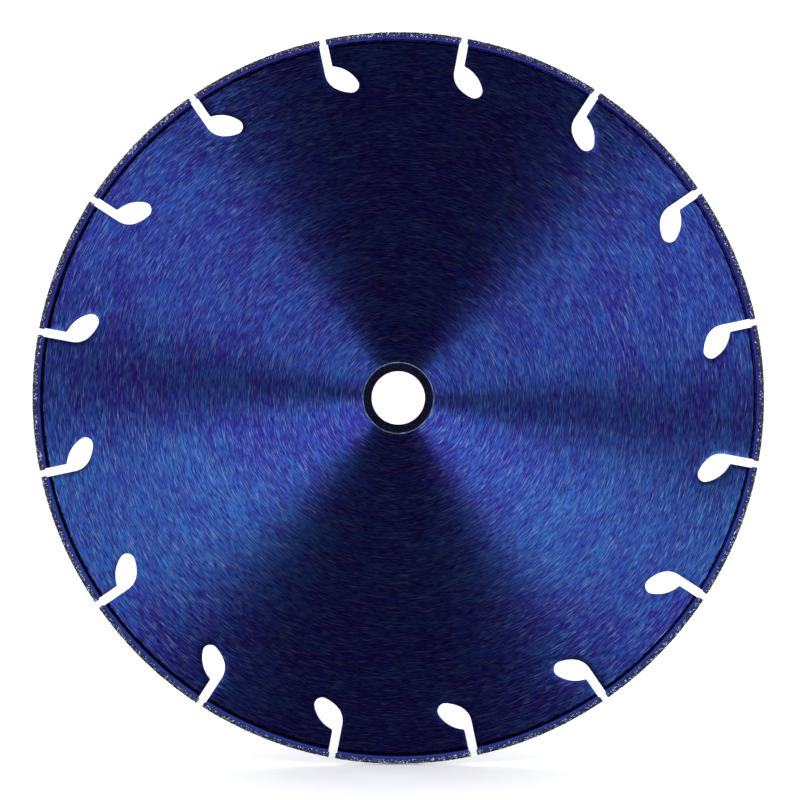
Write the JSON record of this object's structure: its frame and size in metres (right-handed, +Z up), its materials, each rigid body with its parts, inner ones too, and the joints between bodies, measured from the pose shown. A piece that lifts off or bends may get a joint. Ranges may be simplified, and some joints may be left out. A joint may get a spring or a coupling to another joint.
{
  "type": "diamond blade",
  "caption": "Round steel blade with a segmented diamond rim, bent gullets and a push-out reducer ring in its bore, for cutting concrete and masonry on a circular cut-off saw.",
  "frame": {"origin": "middle of the arbor bore, halfway through the steel core", "axes": "the blade stands upright; +Y runs along its spin axis, from the front face to the back face, +Z is up and +X is to the right as the front face is seen"},
  "size_m": [0.305, 0.0032, 0.305],
  "materials": {
    "lacquered_steel": "translucent blue lacquer over circumferentially brushed steel",
    "rim_steel": "smooth satin blue lacquer on plain steel",
    "diamond_grit": "rough brazed metal full of small diamond crystals, tinted blue",
    "weld_metal": "dark heat-tinted weld metal",
    "ring_steel": "matt blue-black oxide on turned steel"
  },
  "bodies": {
    "blade": {"core_disc": "lacquered_steel", "front_weld_beads": "weld_metal", "back_weld_beads": "weld_metal", "rim_carrier_01": "rim_steel", "rim_carrier_02": "rim_steel", "rim_carrier_03": "rim_steel", "rim_carrier_04": "rim_steel", "rim_carrier_05": "rim_steel", "rim_carrier_06": "rim_steel", "rim_carrier_07": "rim_steel", "rim_carrier_08": "rim_steel", "rim_carrier_09": "rim_steel", "rim_carrier_10": "rim_steel", "rim_carrier_11": "rim_steel", "rim_carrier_12": "rim_steel", "rim_carrier_13": "rim_steel", "rim_carrier_14": "rim_steel", "rim_carrier_15": "rim_steel", "rim_carrier_16": "rim_steel", "diamond_layer_01": "diamond_grit", "diamond_layer_02": "diamond_grit", "diamond_layer_03": "diamond_grit", "diamond_layer_04": "diamond_grit", "diamond_layer_05": "diamond_grit", "diamond_layer_06": "diamond_grit", "diamond_layer_07": "diamond_grit", "diamond_layer_08": "diamond_grit", "diamond_layer_09": "diamond_grit", "diamond_layer_10": "diamond_grit", "diamond_layer_11": "diamond_grit", "diamond_layer_12": "diamond_grit", "diamond_layer_13": "diamond_grit", "diamond_layer_14": "diamond_grit", "diamond_layer_15": "diamond_grit", "diamond_layer_16": "diamond_grit"},
    "ring": {"reducer_ring": "ring_steel"}
  },
  "joints": [
    {"name": "ring_out", "type": "slide", "parent": "blade", "child": "ring", "axis": [0, -1, 0], "range_m": [-0.02, 0.02]}
  ]
}
